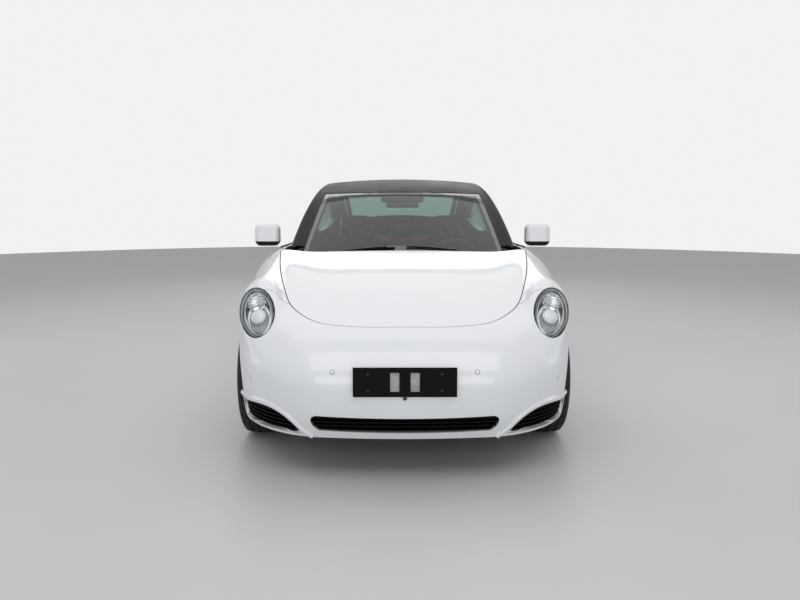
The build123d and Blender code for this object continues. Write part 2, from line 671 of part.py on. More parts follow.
def rear_axle():
    """Rear subframe with arms, uprights, stub axles and calipers, which do not turn."""
    y, z = REAR_AXLE, TYRE_RADIUS
    frame = block(-540, 540, y - 110, y + 110, 182, 250)
    for side in (1, -1):
        arm = block(530, 730, y - 35, y + 35, 200, 240)
        upright = block(716, 758, y - 45, y + 45, z - 150, z + 110)
        stub = rod(750, 836, y, z, 34)
        web = block(730, 758, y + 30, y + 130, z - 35, z + 35)
        corner = whole(arm + upright + stub + web + caliper(792, y, z))
        frame += corner if side == 1 else right_of(corner)
    return whole(frame)


def drive_motor():
    return fillet(block(-260, 260, 1180, 1560, 262, 470).edges().filter_by(Axis.X), 50)


def wheel(axle_x, axle_y):
    """A left alloy wheel with its hub and brake disc; the outer face looks to +X."""
    z = TYRE_RADIUS
    x = axle_x
    barrel = rod(x - 108, x + 108, axle_y, z, 231) - rod(x - 109, x + 109, axle_y, z, 217)
    for lip in (-113, 105):
        barrel += rod(x + lip, x + lip + 8, axle_y, z, 243) - rod(x + lip - 1, x + lip + 9, axle_y, z, 217)
    hub = rod(x + 45, x + 82, axle_y, z, 78)
    hat = rod(x - 6, x + 46, axle_y, z, 78) - rod(x - 7, x + 38, axle_y, z, 62)
    disc = rod(x - 8, x + 20, axle_y, z, 168) - rod(x - 9, x + 21, axle_y, z, 62)
    spoke = prism("x", x + 52, x + 84, corners((axle_y - 26, z + 60), (axle_y - 17, z + 224),
            (axle_y + 17, z + 224), (axle_y + 26, z + 60)))
    turned = barrel + hub + hat + disc
    for k in range(10):
        turned += spoke.rotate(Axis((x, axle_y, z), (1, 0, 0)), 36 * k)
    return whole(turned)


def tyre(axle_x, axle_y):
    """A tyre round a wheel, its section a rounded tread with bulging walls."""
    half = TYRE_WIDTH / 2
    section = [(103, 233), (106, 250), (half - 3, 282), (half, 300), (half - 8, 325), (half - 26, 341),
            (half - 55, TYRE_RADIUS)]
    left = [(axle_x + a, r) for a, r in section]
    right = [(axle_x - a, r) for a, r in reversed(section)]
    runs = [left, (left[-1], right[0]), right, (right[-1], left[0])]
    edges = []
    for run in runs:
        points = [Vector(a, axle_y, r + TYRE_RADIUS) for a, r in run]
        edges.append(Edge.make_line(*points) if len(points) == 2 else Edge.make_spline(points))
    axis = Axis((axle_x, axle_y, TYRE_RADIUS), (1, 0, 0))
    return whole(revolve(Face(Wire(edges)), axis, 360))


# ---------------------------------------------------------------- the cabin
def front_seat(x):
    side = corners((-300, 300), (-330, 420), (-310, 500), (40, 470), (160, 520), (285, 1060),
            (330, 1085), (370, 1060), (270, 470), (250, 300))
    seat = prism("x", x - 245, x + 245, side)
    seat = fillet(seat.edges().filter_by(Axis.X), 24)
    head = fillet(block(x - 130, x + 130, 322, 392, 1080, 1225).edges(), 30)
    return whole(seat + head + block(x - 60, x + 60, 338, 372, 1040, 1120))


def rear_seat():
    side = corners((640, 300), (600, 500), (640, 545), (1000, 525), (1125, 960), (1145, 1010),
            (1195, 1010), (1200, 960), (1090, 508), (925, 508), (925, 300))
    seat = prism("x", -610, 610, side)
    for x in (-350, 0, 350):
        seat += block(x - 120, x + 120, 1140, 1196, 980, 1115)
    return whole(seat)


def dashboard():
    side = [[(-1080, 700), (-1080, 925)], [(-1080, 925), (-960, 950), (-830, 948), (-760, 915)],
            [(-760, 915), (-730, 800)],
            [(-730, 800), (-800, 640)], [(-800, 640), (-1080, 700)]]
    return prism("x", -690, 690, side)


def centre_console():
    side = [[(-720, 290), (-720, 560)], [(-720, 560), (-500, 575), (-100, 560), (180, 545)],
            [(180, 545), (200, 290)], [(200, 290), (-720, 290)]]
    return prism("x", -112, 112, side)


STEERING = (355.0, -560.0, 905.0)
STEERING_AXIS = (0.0, 0.9063, 0.4226)   # out of the wheel, towards the driver and up


def steering_wheel():
    """Rim, three spokes, boss and the stub of the column."""
    place = Plane(origin=STEERING, x_dir=(1, 0, 0), z_dir=STEERING_AXIS)
    rim = place * Torus(178, 14)
    boss = place * Pos(0, 0, -12) * Cylinder(58, 44)
    bars = place * Pos(0, 0, -6) * Box(350, 44, 16) + place * Pos(0, -88, -6) * Box(36, 170, 16)
    column = place * Pos(0, 0, -95) * Cylinder(24, 130)
    return whole(rim + boss + bars + column)


def front_plate_holder():
    """The bare bracket for a number plate, with two slots."""
    holder = block(-240, 240, NOSE - BRACKET, NOSE - 2, 445, 583)
    for x in (-47, 47):
        holder -= block(x - 22, x + 22, NOSE - 20, NOSE + 20, 468, 559)
    return whole(holder)


# ---------------------------------------------------------------- everything, written out
os.makedirs("parts", exist_ok=True)
zone = glass_zone()
panes = side_glass_blank()
left_pieces = {
    "body_side": body_side,
    "front_fender": fender,
    "door_front": front_door,
    "door_rear": rear_door,
    "door_front_glass": lambda: front_door_glass(panes),
    "door_rear_glass": lambda: rear_door_glass(panes),
    "quarter_glass": lambda: whole(panes & quarter_glass_prism(0.0)),
    "mirror": mirror_housing,
    "headlamp": headlamp,
    "knuckle": knuckle,
    "wheel_front": lambda: wheel(FRONT_TRACK / 2, FRONT_AXLE),
    "wheel_rear": lambda: wheel(REAR_TRACK / 2, REAR_AXLE),
    "tyre_front": lambda: tyre(FRONT_TRACK / 2, FRONT_AXLE),
    "tyre_rear": lambda: tyre(REAR_TRACK / 2, REAR_AXLE),
    "front_seat": lambda: front_seat(370.0),
}
single_pieces = {
    "floor_pan": floor_pan,
    "battery_pack": battery_pack,
    "front_bumper": front_bumper,
    "bumper_grilles": bumper_grilles,
    "rear_bumper": rear_bumper,
    "bonnet": bonnet,
    "tailgate": tailgate,
    "tailgate_glass": tailgate_glass,
    "tail_lamp": tail_lamp,
    "windscreen": windscreen,
    "roof": roof,
    "rear_seat": rear_seat,
    "dashboard": dashboard,
    "centre_console": centre_console,
    "steering_wheel": steering_wheel,
    "front_compartment": front_compartment,
    "front_subframe": front_subframe,
    "rear_axle": rear_axle,
    "drive_motor": drive_motor,
    "front_plate_holder": front_plate_holder,
}
for name, make in left_pieces.items():
    piece = make()
    export_step(piece, f"parts/{name}_left.step")
    export_step(right_of(piece), f"parts/{name}_right.step")
for name, make in single_pieces.items():
    export_step(make(), f"parts/{name}.step")
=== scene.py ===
import json
import math

import bpy
from mathutils import Matrix, Vector
from mathutils.bvhtree import BVHTree

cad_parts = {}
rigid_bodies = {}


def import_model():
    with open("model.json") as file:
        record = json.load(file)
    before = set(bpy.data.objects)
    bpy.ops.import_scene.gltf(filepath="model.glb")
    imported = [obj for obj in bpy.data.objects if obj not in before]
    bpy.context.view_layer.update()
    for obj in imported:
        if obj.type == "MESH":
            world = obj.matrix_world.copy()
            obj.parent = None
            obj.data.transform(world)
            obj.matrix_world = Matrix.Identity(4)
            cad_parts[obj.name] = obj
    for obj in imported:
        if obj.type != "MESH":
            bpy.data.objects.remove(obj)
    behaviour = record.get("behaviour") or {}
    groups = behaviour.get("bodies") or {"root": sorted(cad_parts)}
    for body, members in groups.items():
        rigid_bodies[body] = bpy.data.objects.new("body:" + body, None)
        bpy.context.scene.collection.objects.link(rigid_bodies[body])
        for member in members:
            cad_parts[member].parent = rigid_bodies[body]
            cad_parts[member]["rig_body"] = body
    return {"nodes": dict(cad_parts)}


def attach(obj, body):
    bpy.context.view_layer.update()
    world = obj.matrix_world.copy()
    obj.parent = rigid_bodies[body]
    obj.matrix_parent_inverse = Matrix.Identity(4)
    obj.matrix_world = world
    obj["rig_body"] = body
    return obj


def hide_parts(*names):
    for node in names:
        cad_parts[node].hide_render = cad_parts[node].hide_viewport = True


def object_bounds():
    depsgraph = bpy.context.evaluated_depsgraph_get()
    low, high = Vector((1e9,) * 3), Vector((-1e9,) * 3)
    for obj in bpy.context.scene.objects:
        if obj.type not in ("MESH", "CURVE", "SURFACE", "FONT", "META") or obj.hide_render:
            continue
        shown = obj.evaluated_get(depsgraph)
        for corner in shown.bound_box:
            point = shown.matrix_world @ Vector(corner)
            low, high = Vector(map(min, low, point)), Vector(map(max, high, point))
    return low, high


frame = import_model()
nodes = frame["nodes"]
cad_low, cad_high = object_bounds()
nose, tail = cad_low.y, cad_high.y
SIDES = ("left", "right")
PI = math.pi
# end of the car, middle of its left wheel across and along
AXLES = (("front", 0.790, -1.497), ("rear", 0.800, 1.373))
WHEEL_HEIGHT = 0.347
LAMP_MIDDLE = (0.743, nose + 0.380, 0.783)
LAMP_AXIS = (0.20, -0.78, 0.593)
LAMP_ACROSS = (0.9475, 0.0, -0.3196)
CABIN_MIDDLE = (0, 0.1, 0.55)


# ---------------------------------------------------------------- finishes
def added(tree, kind, **values):
    """A new shader node with some of its inputs set."""
    node = tree.nodes.new(kind)
    for name, value in values.items():
        node.inputs[name.replace("_", " ")].default_value = value
    return node


def sums(tree, kind, first, second=0.0, third=None):
    """A Math node on two or three sockets or numbers; gives its output."""
    node = tree.nodes.new("ShaderNodeMath")
    node.operation = kind
    for place, value in enumerate((first, second, third)):
        if value is None:
            continue
        if isinstance(value, (int, float)):
            node.inputs[place].default_value = value
        else:
            tree.links.new(value, node.inputs[place])
    return node.outputs[0]


def coat_of(
    tree, colour, rough, metal=0.0, coat=0.0, tone=0.05, tone_scale=5.0,
    grain=0.0, grain_scale=300.0, sheen=0.0, gleam=0.5,
):
    """One Principled shader: a base whose tone and roughness wander a little, and a fine grain."""
    shader = added(
        tree, "ShaderNodeBsdfPrincipled", Metallic=metal, Coat_Weight=coat,
        Coat_Roughness=0.03, Sheen_Weight=sheen, Specular_IOR_Level=gleam,
    )
    place = tree.nodes.new("ShaderNodeTexCoord").outputs["Object"]
    drift = added(tree, "ShaderNodeTexNoise", Scale=tone_scale, Detail=4.0, Roughness=0.55)
    tree.links.new(place, drift.inputs["Vector"])
    ramp = tree.nodes.new("ShaderNodeValToRGB")
    for stop, share in zip(ramp.color_ramp.elements, (1 - tone, 1 + tone)):
        stop.color = (*[min(1.0, part * share) for part in colour], 1)
    ramp.color_ramp.elements[0].position, ramp.color_ramp.elements[1].position = 0.3, 0.7
    tree.links.new(drift.outputs["Fac"], ramp.inputs["Fac"])
    tree.links.new(ramp.outputs["Color"], shader.inputs["Base Color"])
    spread = added(tree, "ShaderNodeMapRange", From_Min=0.3, From_Max=0.7, To_Min=rough * 0.85,
            To_Max=min(1, rough * 1.15))
    tree.links.new(drift.outputs["Fac"], spread.inputs["Value"])
    tree.links.new(spread.outputs["Result"], shader.inputs["Roughness"])
    if grain:
        fine = added(tree, "ShaderNodeTexNoise", Scale=grain_scale, Detail=3.0)
        tree.links.new(place, fine.inputs["Vector"])
        bump = added(tree, "ShaderNodeBump", Strength=grain, Distance=0.001)
        tree.links.new(fine.outputs["Fac"], bump.inputs["Height"])
        tree.links.new(bump.outputs["Normal"], shader.inputs["Normal"])
    return shader


def blank(name):
    """A new material with an empty tree; gives it, its tree and its surface socket."""
    made = bpy.data.materials.new(name)
    made.use_nodes = True
    tree = made.node_tree
    tree.nodes.remove(tree.nodes["Principled BSDF"])
    return made, tree, tree.nodes["Material Output"].inputs["Surface"]


def finish(name, *look, **more):
    """A material that has one coat all over."""
    made, tree, out = blank(name)
    tree.links.new(coat_of(tree, *look, **more).outputs[0], out)
    return made


def both(tree, mask, first, second):
    """A mix of two shaders: first where mask is 0 and second where it is 1."""
    mix = tree.nodes.new("ShaderNodeMixShader")
    tree.links.new(mask, mix.inputs[0])
    tree.links.new(first, mix.inputs[1])
    tree.links.new(second, mix.inputs[2])
    return mix.outputs[0]


def inward(tree):
    """1 on faces that look towards the middle of the car, 0 elsewhere."""
    place = tree.nodes.new("ShaderNodeTexCoord")
    arm = tree.nodes.new("ShaderNodeVectorMath")
    arm.operation = "SUBTRACT"
    arm.inputs[1].default_value = CABIN_MIDDLE
    tree.links.new(place.outputs["Object"], arm.inputs[0])
    unit = tree.nodes.new("ShaderNodeVectorMath")
    unit.operation = "NORMALIZE"
    tree.links.new(arm.outputs[0], unit.inputs[0])
    facing = tree.nodes.new("ShaderNodeVectorMath")
    facing.operation = "DOT_PRODUCT"
    tree.links.new(unit.outputs[0], facing.inputs[0])
    tree.links.new(tree.nodes.new("ShaderNodeNewGeometry").outputs["True Normal"], facing.inputs[1])
    return sums(tree, "LESS_THAN", facing.outputs["Value"], -0.25)


def lined(name, outside, inside):
    """A panel painted outside and trimmed inside."""
    made, tree, out = blank(name)
    tree.links.new(both(tree, inward(tree), coat_of(tree, **outside).outputs[0],
            coat_of(tree, **inside).outputs[0]), out)
    return made


def axes_of(tree):
    """The three sockets of the place on the piece."""
    split = tree.nodes.new("ShaderNodeSeparateXYZ")
    tree.links.new(tree.nodes.new("ShaderNodeTexCoord").outputs["Object"], split.inputs[0])
    return split.outputs


def pane(name, tint, border=None, gloss=1.0):
    """Tinted safety glass, with a black printed border where border gives one."""
    made, tree, out = blank(name)
    clear = added(tree, "ShaderNodeBsdfTransparent", Color=(*tint, 1))
    shine = added(tree, "ShaderNodeBsdfGlossy", Color=(gloss, gloss, gloss, 1), Roughness=0.01)
    edge = added(tree, "ShaderNodeFresnel", IOR=1.5)
    behind = tree.nodes.new("ShaderNodeNewGeometry").outputs["Backfacing"]
    share = sums(tree, "MULTIPLY", edge.outputs[0], sums(tree, "SUBTRACT", 1.0, behind))
    glass = both(tree, share, clear.outputs[0], shine.outputs[0])
    if border:
        x, y, z = axes_of(tree)
        print_black = coat_of(tree, (0.008, 0.008, 0.009), 0.25, coat=1.0).outputs[0]
        glass = both(tree, border(tree, sums(tree, "ABSOLUTE", x), y, z), glass, print_black)
    tree.links.new(glass, out)
    return made


def windscreen_border(tree, x, y, z):
    """1 on the printed border of the windscreen: its foot, its head and its sides."""
    ahead = sums(tree, "MULTIPLY", sums(tree, "MULTIPLY", x, x), 0.115)
    foot = sums(tree, "LESS_THAN", sums(tree, "SUBTRACT", y, ahead), -1.158)
    behind = sums(tree, "MULTIPLY", sums(tree, "MULTIPLY", x, x), 0.46)
    head = sums(tree, "GREATER_THAN", sums(tree, "SUBTRACT", y, behind), -0.50)
    edge = sums(tree, "GREATER_THAN", sums(tree, "MULTIPLY_ADD", y, 0.1123, x), 0.486)
    return sums(tree, "MAXIMUM", sums(tree, "MAXIMUM", foot, head), edge)


def rear_border(tree, x, y, z):
    """1 on the printed border of the rear window."""
    edge = sums(tree, "GREATER_THAN", x, 0.492)
    ends = sums(tree, "GREATER_THAN", sums(tree, "ABSOLUTE", sums(tree, "SUBTRACT", y, 1.374)),
            0.60)
    return sums(tree, "MAXIMUM", edge, ends)


WHITE = dict(colour=(0.80, 0.815, 0.83), rough=0.32, coat=1.0, tone=0.012, tone_scale=2.0,
        grain=0.02, grain_scale=700)
BLACK = dict(colour=(0.008, 0.008, 0.009), rough=0.45, coat=0.0, gleam=0.22, tone=0.1,
        tone_scale=3.0, grain=0.01, grain_scale=700)
TRIM = dict(colour=(0.028, 0.029, 0.031), rough=0.62, tone=0.12, tone_scale=9.0, grain=0.25,
        grain_scale=900)
LINING = dict(colour=(0.075, 0.076, 0.08), rough=0.9, tone=0.12, tone_scale=30.0, grain=0.5,
        grain_scale=1400, sheen=0.3)
UNDER = dict(colour=(0.035, 0.035, 0.036), rough=0.75, tone=0.25, tone_scale=12.0, grain=0.4,
        grain_scale=250)
CARPET = dict(colour=(0.03, 0.03, 0.032), rough=0.95, tone=0.3, tone_scale=60.0, grain=0.9,
        grain_scale=900, sheen=0.4)
LEATHER = dict(colour=(0.125, 0.018, 0.014), rough=0.48, tone=0.16, tone_scale=14.0, grain=0.45,
        grain_scale=420)
ALLOY = dict(colour=(0.56, 0.57, 0.59), rough=0.28, metal=1.0, tone=0.05, tone_scale=12.0,
        grain=0.03, grain_scale=900)

white_paint = lined("white_paint", WHITE, TRIM)
white_plain = finish("white_gloss", **WHITE)
roof_finish = lined("roof_black_and_lining", BLACK, LINING)
trim = finish("moulded_trim", **TRIM)
black_trim = finish("black_grille", **{**TRIM, "colour": (0.006, 0.006, 0.007), "rough": 0.6,
        "gleam": 0.08})
soft_trim = finish("soft_dash_skin", **{**TRIM, "colour": (0.045, 0.047, 0.05),
        "grain_scale": 500.0})
undercoat = finish("undercoat", **UNDER)
leather = finish("dark_red_leather", **LEATHER)
dark_leather = finish("black_leather", **{**LEATHER, "colour": (0.02, 0.02, 0.022)})
rim_leather = finish("red_rim_leather", **{**LEATHER, "colour": (0.30, 0.075, 0.045)})
alloy = finish("turned_alloy", **ALLOY)
satin = finish("satin_silver", **{**ALLOY, "colour": (0.62, 0.63, 0.65), "rough": 0.3})
iron = finish("cast_iron", (0.12, 0.115, 0.11), 0.55, metal=0.8, tone=0.3, tone_scale=40.0,
        grain=0.4, grain_scale=300)
case = finish("battery_case", (0.30, 0.31, 0.32), 0.45, metal=0.9, tone=0.1, tone_scale=8.0,
        grain=0.15, grain_scale=200)
rubber = finish("tyre_rubber", (0.018, 0.018, 0.019), 0.78, tone=0.2, tone_scale=25.0, grain=0.35,
        grain_scale=500)
screen = finish("dark_screen", (0.006, 0.007, 0.008), 0.08, coat=1.0, tone=0.1)
windscreen_glass = pane("windscreen_glass", (0.60, 0.70, 0.67), windscreen_border)
rear_glass = pane("rear_glass", (0.62, 0.74, 0.70), rear_border)
side_glass = pane("side_glass", (0.55, 0.63, 0.61))
lens_glass = pane("lamp_lens", (0.97, 0.98, 0.98))


def floor_finish():
    """Underseal below, carpet on what looks up inside the cabin and luggage floor."""
    made, tree, out = blank("floor_carpet_and_underseal")
    split = tree.nodes.new("ShaderNodeSeparateXYZ")
    tree.links.new(tree.nodes.new("ShaderNodeNewGeometry").outputs["True Normal"], split.inputs[0])
    x, y, z = axes_of(tree)
    up = sums(tree, "GREATER_THAN", split.outputs[2], 0.5)
    inside = sums(tree, "GREATER_THAN", y, -1.09)
    mask = sums(tree, "MULTIPLY", up, inside)
    tree.links.new(both(tree, mask, coat_of(tree, **UNDER).outputs[0],
            coat_of(tree, **CARPET).outputs[0]), out)
    return made


def split_low(name, height, upper, lower):
    """One finish above a height and another below it."""
    made, tree, out = blank(name)
    x, y, z = axes_of(tree)
    low = sums(tree, "LESS_THAN", z, height)
    tree.links.new(both(tree, low, coat_of(tree, **upper).outputs[0],
            coat_of(tree, **lower).outputs[0]), out)
    return made


def lamp_red():
    """Red tail lamp moulding with fine upright flutes."""
    made, tree, out = blank("red_lamp")
    shader = coat_of(tree, (0.42, 0.008, 0.012), 0.12, coat=1.0, tone=0.15, tone_scale=20)
    flutes = added(tree, "ShaderNodeTexWave", Scale=60.0)
    flutes.bands_direction = "X"
    tree.links.new(tree.nodes.new("ShaderNodeTexCoord").outputs["Object"], flutes.inputs["Vector"])
    bump = added(tree, "ShaderNodeBump", Strength=0.5, Distance=0.002)
    tree.links.new(flutes.outputs["Fac"], bump.inputs["Height"])
    tree.links.new(bump.outputs["Normal"], shader.inputs["Normal"])
    # A faint red glow: the tail lamp's own, but painted light on the rear reflectors, which share
    # this finish and are no lamps.
    shader.inputs["Emission Color"].default_value = (0.6, 0.01, 0.01, 1)
    shader.inputs["Emission Strength"].default_value = 0.15
    tree.links.new(shader.outputs[0], out)
    return made


def side_finish():
    """White body side whose centre pillar is gloss black beside the glass, trimmed inside."""
    made, tree, out = blank("side_white_with_black_pillar")
    x, y, z = axes_of(tree)
    pillar = sums(tree, "MULTIPLY", sums(tree, "GREATER_THAN", z, 0.985),
            sums(tree, "LESS_THAN", y, 0.5))
    white = both(tree, pillar, coat_of(tree, **WHITE).outputs[0], coat_of(tree, **BLACK).outputs[0])
    tree.links.new(both(tree, inward(tree), white, coat_of(tree, **TRIM).outputs[0]), out)
    return made


side_mix = side_finish()
lamp_case = finish("lamp_housing", **{**ALLOY, "colour": (0.66, 0.67, 0.68), "rough": 0.3})
red_lamp = lamp_red()
floor_mix = floor_finish()
mirror_mix = split_low("mirror_two_tone", 1.062, WHITE, BLACK)
rear_mix = split_low("rear_bumper_two_tone", 0.335, WHITE, TRIM)
mirror_face = finish("mirror_face", (0.85, 0.86, 0.87), 0.02, metal=1.0, tone=0.01)

finish_of = {
    "floor_pan": floor_mix, "battery_pack": case, "front_bumper": white_paint,
    "bumper_grilles": black_trim, "rear_bumper": rear_mix, "bonnet": white_paint,
    "tailgate": white_paint, "tailgate_glass": rear_glass, "tail_lamp": red_lamp,
    "windscreen": windscreen_glass, "roof": roof_finish, "rear_seat": leather,
    "dashboard": soft_trim, "centre_console": soft_trim, "steering_wheel": rim_leather,
    "front_compartment": trim, "front_subframe": undercoat, "rear_axle": undercoat,
    "drive_motor": case, "front_plate_holder": black_trim,
}
for side in SIDES:
    for stem, material in (
        ("body_side", side_mix), ("front_fender", white_paint), ("door_front", white_paint),
        ("door_rear", white_paint), ("door_front_glass", side_glass),
        ("door_rear_glass", side_glass), ("quarter_glass", side_glass), ("mirror", mirror_mix),
        ("headlamp", lamp_case), ("knuckle", iron), ("wheel_front", alloy), ("wheel_rear", alloy),
        ("tyre_front", rubber), ("tyre_rear", rubber), ("front_seat", leather),
    ):
        finish_of[f"{stem}_{side}"] = material
for name, node in nodes.items():
    node.data.materials.clear()
    node.data.materials.append(finish_of[name])


# ---------------------------------------------------------------- tools
def alone():
    """Deselects everything before a new piece is made."""
    bpy.ops.object.select_all(action="DESELECT")


def settle(piece, name, material, body, angle=35.0):
    """Bakes a piece's place into its mesh, names and finishes it, and hangs it on its body."""
    alone()
    piece.select_set(True)
    bpy.context.view_layer.objects.active = piece
    bpy.ops.object.transform_apply(location=True, rotation=True, scale=True)
    if angle:
        bpy.ops.object.shade_smooth_by_angle(angle=math.radians(angle))
    piece.name = piece.data.name = name
    piece.data.materials.clear()
    piece.data.materials.append(material)
    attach(piece, body)
    return piece


def applied(piece, kind, **settings):
    """Adds a modifier with these settings and applies it."""
    bpy.context.view_layer.objects.active = piece
    modifier = piece.modifiers.new(kind.title(), kind)
    for key, value in settings.items():
        setattr(modifier, key, value)
    bpy.ops.object.modifier_apply(modifier=modifier.name)


def line(name, points, radius, material, body, flat=None, cyclic=False, order=4):
    """A rod or strip along a smooth line; flat squeezes its section to (width, height)."""
    alone()
    data = bpy.data.curves.new(name, "CURVE")
    data.dimensions = "3D"
    spline = data.splines.new("NURBS")
    spline.points.add(len(points) - 1)
    for control, point in zip(spline.points, points):
        control.co = (*point, 1)
    spline.order_u = order
    spline.use_endpoint_u = not cyclic
    spline.use_cyclic_u = cyclic
    spline.resolution_u = 8
    data.bevel_depth = radius
    data.bevel_resolution = 2
    data.use_fill_caps = True
    piece = bpy.data.objects.new(name, data)
    bpy.context.collection.objects.link(piece)
    piece.select_set(True)
    bpy.context.view_layer.objects.active = piece
    bpy.ops.object.convert(target="MESH")
    piece = bpy.context.object
    if flat:
        flat(piece)
    return settle(piece, name, material, body)


def slab(name, low, high, bevel, material, body, turn=None, segments=3):
    """A box between two corners with rounded edges, turned about its middle."""
    alone()
    low, high = Vector(low), Vector(high)
    bpy.ops.mesh.primitive_cube_add(size=1, location=(low + high) / 2)
    piece = bpy.context.object
    piece.scale = high - low
    bpy.ops.object.transform_apply(location=False, rotation=False, scale=True)
    if bevel:
        applied(piece, "BEVEL", width=bevel, segments=segments, limit_method="ANGLE")
    if turn:
        piece.rotation_euler = turn
    return settle(piece, name, material, body)


def disc(name, centre, axis, radius, depth, bevel, material, body, vertices=32):
    """A short round piece with rounded rims whose axis points along axis."""
    alone()
    turn = Vector(axis).to_track_quat("Z", "Y").to_euler()
    bpy.ops.mesh.primitive_cylinder_add(vertices=vertices, radius=radius, depth=depth,
            location=centre, rotation=turn)
    piece = bpy.context.object
    if bevel:
        applied(piece, "BEVEL", width=bevel, segments=2, limit_method="ANGLE")
    return settle(piece, name, material, body)


depsgraph = bpy.context.evaluated_depsgraph_get()
trees = {name: BVHTree.FromObject(node, depsgraph) for name, node in nodes.items()}


def touch(start, way, *names):
    """Where a ray first meets any of the named CAD nodes, and the face's normal there."""
    best = None
    for name in names:
        spot, normal, _, distance = trees[name].ray_cast(Vector(start), Vector(way).normalized())
        if spot and (best is None or distance < best[2]):
            best = (spot, normal, distance)
    return (best[0], best[1]) if best else (None, None)


def on_nose(x, z, *names):
    """The first spot met going back from ahead of the nose."""
    return touch((x, nose - 0.5, z), (0, 1, 0), *(names or ("front_bumper",)))


# ---------------------------------------------------------------- camera and light
def studio():
    """Camera, pale surroundings, soft lights and the floor."""
    camera = bpy.data.cameras.new("camera")
    camera.sensor_width = 36.0
    camera.lens = 33.87
    eye = bpy.data.objects.new("camera", camera)
    eye.location = (-0.033, -5.807, 1.351)
    eye.rotation_euler = (math.radians(90 - 7.68), 0, -0.003)
    bpy.context.collection.objects.link(eye)
    bpy.context.scene.camera = eye
    scene = bpy.context.scene
    scene.view_settings.view_transform = "Standard"
    world = bpy.data.worlds.new("studio")
    world.use_nodes = True
    scene.world = world
    tree = world.node_tree
    back = tree.nodes["Background"]
    back.inputs["Color"].default_value = (0.95, 0.96, 0.98, 1)
    back.inputs["Strength"].default_value = 0.50
    seen = added(tree, "ShaderNodeBackground", Color=(0.95, 0.96, 0.97, 1), Strength=0.92)
    rays = tree.nodes.new("ShaderNodeLightPath")
    straight = sums(tree, "MAXIMUM", rays.outputs["Is Camera Ray"],
            rays.outputs["Is Transmission Ray"])
    tree.links.new(both(tree, straight, back.outputs[0], seen.outputs[0]),
            tree.nodes["World Output"].inputs["Surface"])
    for name, where, size, power in (
        ("ceiling_front", (0, -4.5, 4.6), (5.0, 3.0), 60),
        ("ceiling_middle", (0, 0.5, 5.0), (6.0, 5.0), 60),
        ("ceiling_rear", (0, 5.5, 4.4), (5.0, 3.0), 60),
        ("left_wall", (6.0, 0, 2.6), (3.0, 6.0), 40),
        ("right_wall", (-6.0, 0, 2.6), (3.0, 6.0), 40),
        ("front_wall", (0, -8.5, 2.0), (6.0, 3.0), 90),
    ):
        light = bpy.data.lights.new(name, "AREA")
        light.shape = "RECTANGLE"
        light.size, light.size_y = size
        light.energy = power
        lamp = bpy.data.objects.new(name, light)
        lamp.location = where
        aim = Vector((0, 0, 0.6)) - Vector(where)
        lamp.rotation_euler = aim.to_track_quat("-Z", "Y").to_euler()
        bpy.context.collection.objects.link(lamp)
    alone()
    bpy.ops.mesh.primitive_circle_add(vertices=96, radius=16, fill_type="NGON",
            location=(0, 0, cad_low.z - 0.0005))
    ground = bpy.context.object
    ground.name = "studio_floor"
    ground.data.materials.append(finish("pale_floor", (0.62, 0.63, 0.64), 0.45, tone=0.02,
            tone_scale=0.6))


# ---------------------------------------------------------------- pieces shared by several parts
def mirrored(piece):
    """A copy of a left piece for the right side, hung on the right side's body."""
    twin = piece.copy()
    twin.data = piece.data.copy()
    bpy.context.collection.objects.link(twin)
    twin.data.transform(Matrix.Scale(-1, 4, (1, 0, 0)))
    twin.data.flip_normals()
    twin.name = twin.data.name = piece.name.replace("left", "right")
    twin.parent = None
    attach(twin, piece["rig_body"].replace("left", "right"))
    return twin


def oval(across, up, count=28, depth=0.0):
    """Points round an oval."""
    return [(across * math.cos(2 * PI * k / count), up * math.sin(2 * PI * k / count),
            depth) for k in range(count)]


def through(points, place):
    """The points carried by a matrix."""
    return [tuple(place @ Vector(point)) for point in points]


# ---------------------------------------------------------------- headlamps
def lamp_place():
    """The left headlamp's own frame: z out through its lens, y up."""
    out = Vector(LAMP_AXIS).normalized()
    side = Vector(LAMP_ACROSS)
    side = (side - side.dot(out) * out).normalized()
    up = out.cross(side)
    turned = Matrix((side, up, out)).transposed().to_4x4()
    return Matrix.Translation(LAMP_MIDDLE) @ turned


def lamp_dome():
    """Clear cover: the front cap of a long flattened ball, 2.5 mm thick."""
    alone()
    bpy.ops.mesh.primitive_uv_sphere_add(segments=56, ring_count=28, radius=1, location=(0, 0, 0))
    piece = bpy.context.object
    bpy.ops.object.mode_set(mode="EDIT")
    bpy.ops.mesh.select_all(action="SELECT")
    bpy.ops.mesh.bisect(plane_co=(0, 0, 0.02), plane_no=(0, 0, 1), clear_inner=True)
    bpy.ops.mesh.select_all(action="SELECT")
    bpy.ops.transform.resize(value=(0.0895, 0.1515, 0.026), center_override=(0, 0, 0))
    bpy.ops.object.mode_set(mode="OBJECT")
    applied(piece, "SOLIDIFY", thickness=0.0025, offset=-1)
    piece.matrix_world = lamp_place() @ Matrix.Translation((0, 0, -0.004))
    return settle(piece, "headlamp_lens_left", lens_glass, "body", angle=60)


def lamp_bowl(name, centre, radius, depth, material):
    """A reflector bowl: a short tube closed behind, opening forwards."""
    alone()
    bpy.ops.mesh.primitive_uv_sphere_add(segments=40, ring_count=20, radius=1, location=(0, 0, 0))
    piece = bpy.context.object
    bpy.ops.object.mode_set(mode="EDIT")
    bpy.ops.mesh.select_all(action="SELECT")
    bpy.ops.mesh.bisect(plane_co=(0, 0, 0), plane_no=(0, 0, 1), clear_outer=True)
    bpy.ops.mesh.select_all(action="SELECT")
    bpy.ops.transform.resize(value=(radius[0], radius[1], depth), center_override=(0, 0, 0))
    bpy.ops.object.mode_set(mode="OBJECT")
    applied(piece, "SOLIDIFY", thickness=0.002, offset=1)
    piece.matrix_world = lamp_place() @ Matrix.Translation(centre)
    return settle(piece, name, material, "body", angle=60)


